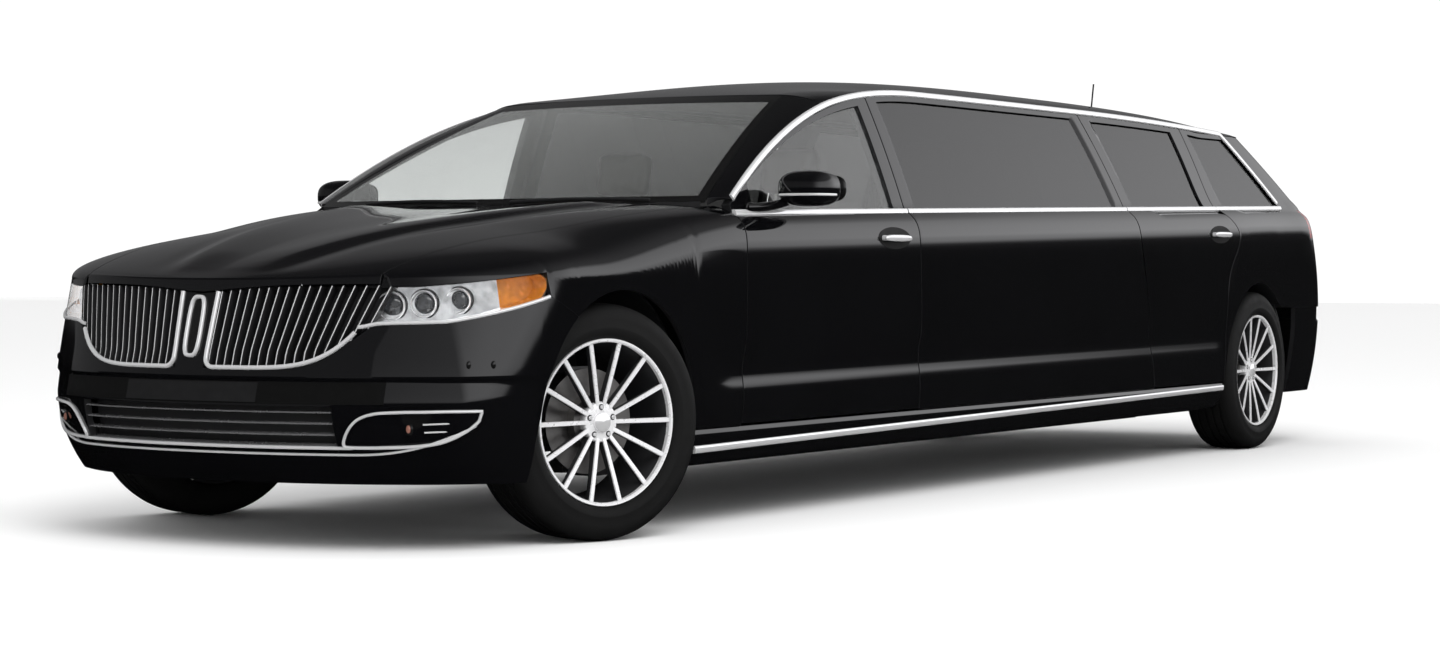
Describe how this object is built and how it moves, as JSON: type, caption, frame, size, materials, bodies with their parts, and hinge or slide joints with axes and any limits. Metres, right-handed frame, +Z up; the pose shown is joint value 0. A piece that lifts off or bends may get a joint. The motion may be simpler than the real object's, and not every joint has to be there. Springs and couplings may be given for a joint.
{
  "type": "stretch limousine",
  "caption": "Long-bodied passenger car with a split slatted grille, hinged doors, hood and tailgate, steered front wheels and a lounge cabin.",
  "frame": {"origin": "on the ground under the middle of the body", "axes": "+X forward, +Y to the car's left, +Z up"},
  "size_m": [7.3997, 2.2362, 1.7608],
  "materials": {
    "black_paint": "gloss black with clear coat",
    "clear_glass": "clear",
    "tinted_glass": "dark tint",
    "tyre": "matte",
    "wheel_alloy": "bright machined",
    "chrome": "mirror bright",
    "lamp_glass": "clear lens",
    "red_lens": "translucent red",
    "dark_plastic": "grained",
    "dash_plastic": "grained",
    "seat_leather": "soft grain",
    "lounge_leather": "soft grain",
    "chassis": "satin black",
    "engine_metal": "cast",
    "exhaust_steel": "dull"
  },
  "bodies": {
    "body": {"floor_pan": "chassis", "frame_rails": "chassis", "sills": "black_paint", "fenders": "black_paint", "side_panels": "black_paint", "quarters": "black_paint", "side_glass": "tinted_glass", "a_pillars": "black_paint", "roof_rails": "black_paint", "roof": "black_paint", "windscreen": "clear_glass", "cowl": "dark_plastic", "hinge_posts": "chassis", "front_bumper": "black_paint", "grille": "chrome", "headlamps": "lamp_glass", "fog_lamps": "dark_plastic", "tail_lamps": "red_lens", "rear_bumper": "black_paint", "radiator_carrier": "dark_plastic", "engine": "engine_metal", "front_subframe": "chassis", "rear_axle": "chassis", "wheelhouses": "dark_plastic", "exhaust": "exhaust_steel", "dashboard": "dash_plastic", "front_seats": "seat_leather", "lounge_seats": "lounge_leather", "antenna": "dark_plastic"},
    "knuckle_left": {"knuckle_left": "chassis"},
    "wheel_front_left": {"rim_front_left": "wheel_alloy", "tyre_front_left": "tyre"},
    "wheel_rear_left": {"rim_rear_left": "wheel_alloy", "tyre_rear_left": "tyre"},
    "front_door_left": {"front_door_left": "black_paint", "front_door_glass_left": "clear_glass", "mirror_left": "black_paint"},
    "rear_door_left": {"rear_door_left": "black_paint", "rear_door_glass_left": "tinted_glass"},
    "knuckle_right": {"knuckle_right": "chassis"},
    "wheel_front_right": {"rim_front_right": "wheel_alloy", "tyre_front_right": "tyre"},
    "wheel_rear_right": {"rim_rear_right": "wheel_alloy", "tyre_rear_right": "tyre"},
    "front_door_right": {"front_door_right": "black_paint", "front_door_glass_right": "clear_glass", "mirror_right": "black_paint"},
    "rear_door_right": {"rear_door_right": "black_paint", "rear_door_glass_right": "tinted_glass"},
    "hood": {"hood": "black_paint"},
    "tailgate": {"tailgate": "black_paint", "tailgate_glass": "tinted_glass"}
  },
  "joints": [
    {"name": "steer_left", "type": "hinge", "parent": "body", "child": "knuckle_left", "pos_m": [2.75, 0.7445, 0.37], "axis": [0, 0, 1], "range_deg": [-14, 50]},
    {"name": "spin_front_left", "type": "hinge", "parent": "knuckle_left", "child": "wheel_front_left", "pos_m": [2.77719, 0.82819, 0.37], "axis": [0.309, 0.9511, 0], "continuous": true},
    {"name": "spin_rear_left", "type": "hinge", "parent": "body", "child": "wheel_rear_left", "pos_m": [-2.575, 0.8325, 0.37], "axis": [0, 1, 0], "continuous": true},
    {"name": "open_front_door_left", "type": "hinge", "parent": "body", "child": "front_door_left", "pos_m": [2.023, 0.945, 0.76], "axis": [0, 0, -1], "range_deg": [0, 65]},
    {"name": "open_rear_door_left", "type": "hinge", "parent": "body", "child": "rear_door_left", "pos_m": [-1.302, 0.945, 0.76], "axis": [0, 0, -1], "range_deg": [0, 65]},
    {"name": "steer_right", "type": "hinge", "parent": "body", "child": "knuckle_right", "pos_m": [2.75, -0.7445, 0.37], "axis": [0, 0, 1], "range_deg": [-14, 50]},
    {"name": "spin_front_right", "type": "hinge", "parent": "knuckle_right", "child": "wheel_front_right", "pos_m": [2.72281, -0.82819, 0.37], "axis": [0.309, 0.9511, 0], "continuous": true},
    {"name": "spin_rear_right", "type": "hinge", "parent": "body", "child": "wheel_rear_right", "pos_m": [-2.575, -0.8325, 0.37], "axis": [0, 1, 0], "continuous": true},
    {"name": "open_front_door_right", "type": "hinge", "parent": "body", "child": "front_door_right", "pos_m": [2.023, -0.945, 0.76], "axis": [0, 0, 1], "range_deg": [0, 65]},
    {"name": "open_rear_door_right", "type": "hinge", "parent": "body", "child": "rear_door_right", "pos_m": [-1.302, -0.945, 0.76], "axis": [0, 0, 1], "range_deg": [0, 65]},
    {"name": "open_hood", "type": "hinge", "parent": "body", "child": "hood", "pos_m": [2.165, 0, 1.01054], "axis": [0, -1, 0], "range_deg": [0, 50]},
    {"name": "open_tailgate", "type": "hinge", "parent": "body", "child": "tailgate", "pos_m": [-2.985, 0, 1.527], "axis": [0, 1, 0], "range_deg": [0, 80]}
  ],
  "couplings": [
    {"joint": "steer_right", "follows": "steer_left", "ratio": 1}
  ]
}
